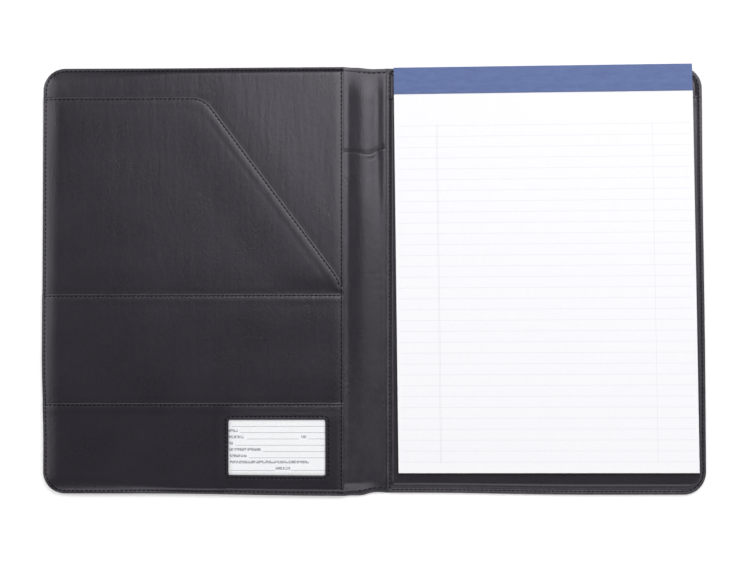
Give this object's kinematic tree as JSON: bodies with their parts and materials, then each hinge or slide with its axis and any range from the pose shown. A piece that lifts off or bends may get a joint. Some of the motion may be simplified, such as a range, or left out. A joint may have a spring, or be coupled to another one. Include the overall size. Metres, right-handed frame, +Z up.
{
  "type": "writing portfolio",
  "caption": "Open leather writing portfolio: stepped pockets with a clear card window on one cover, a pen pocket on the spine, and a ruled pad tucked into the other cover.",
  "frame": {"origin": "middle of the spine, on the face that lies on the table", "axes": "+X from the pockets to the pad, +Y to the head of the covers, +Z up from the table out of the open inside"},
  "size_m": [0.4812, 0.3109, 0.0124],
  "materials": {
    "leather": "fine-grained, semi-matt",
    "lining_leather": "fine-grained, semi-matt",
    "cover_board": "plain grey-brown board",
    "paper": "smooth uncoated, faintly ruled",
    "card": "smooth printed card",
    "binding_tape": "smooth coated paper tape",
    "clear_film": "clear and glossy"
  },
  "bodies": {
    "back_cover": {"back_leather": "leather", "back_board": "cover_board", "back_lining": "lining_leather", "pad_pocket": "leather", "pad_backing": "cover_board", "pad_sheets": "paper", "pad_binding": "binding_tape"},
    "spine": {"spine_leather": "leather", "gutter_lining": "lining_leather", "pen_pocket": "leather"},
    "front_cover": {"front_leather": "leather", "front_board": "cover_board", "front_lining": "lining_leather", "document_pocket": "leather", "middle_pocket": "leather", "lower_pocket": "leather", "id_card": "card", "window_film": "clear_film", "gutter_lining_front": "lining_leather", "pen_pocket_front": "leather"}
  },
  "joints": [
    {"name": "spine_fold", "type": "hinge", "parent": "back_cover", "child": "spine", "pos_m": [0.01, 0, 0.0034], "axis": [0, 1, 0], "range_deg": [0, 90]},
    {"name": "cover_fold", "type": "hinge", "parent": "spine", "child": "front_cover", "pos_m": [-0.01, 0, 0.0034], "axis": [0, 1, 0], "range_deg": [0, 90]}
  ]
}
